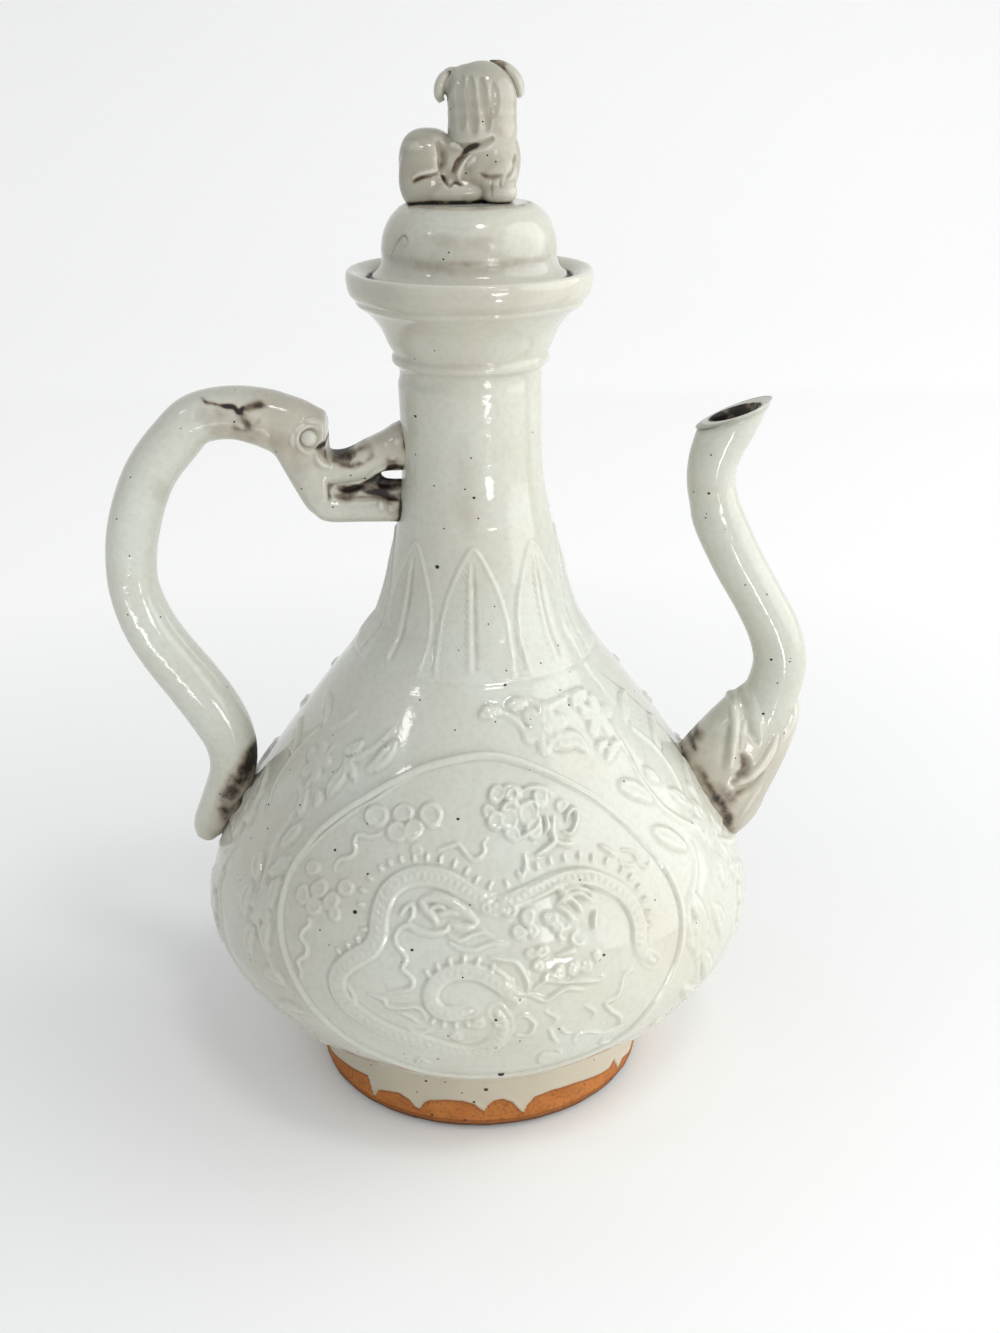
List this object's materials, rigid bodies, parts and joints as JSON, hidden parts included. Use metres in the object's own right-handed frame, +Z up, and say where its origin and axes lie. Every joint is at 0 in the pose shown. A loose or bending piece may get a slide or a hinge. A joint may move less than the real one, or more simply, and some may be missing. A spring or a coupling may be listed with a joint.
{
  "type": "lidded ewer",
  "caption": "Pear-shaped glazed ceramic ewer with a loop handle, an S-shaped spout and a loose domed lid with a lion finial.",
  "frame": {"origin": "on the table, under the middle of the ewer's width from handle to spout", "axes": "+Z up along the vessel's axis, -X towards the handle, +X towards the spout, -Y towards the front dragon panel"},
  "size_m": [0.21, 0.1702, 0.3035],
  "materials": {
    "glaze": "glossy pale grey-green transparent glaze over moulded white clay",
    "stained_glaze": "the same glaze with brown kiln and age stain in its recesses",
    "bare_foot": "unglazed clay fired orange brown, with drips of glaze down from above"
  },
  "bodies": {
    "ewer": {"foot_ring": "bare_foot", "base_disc": "glaze", "body_front": "glaze", "body_back": "glaze", "neck": "glaze", "mouth": "glaze", "handle": "glaze", "handle_head": "stained_glaze", "handle_eye_front": "stained_glaze", "handle_eye_back": "stained_glaze", "spout": "glaze", "spout_sheath": "stained_glaze"},
    "lid": {"lid_cover": "glaze", "lid_bezel": "glaze", "lion_body": "glaze", "lion_head": "glaze", "lion_ear_left": "glaze", "lion_ear_right": "glaze"}
  },
  "joints": [
    {"name": "lid_lift", "type": "slide", "parent": "ewer", "child": "lid", "axis": [0, 0, 1], "range_m": [0, 0.06]}
  ]
}
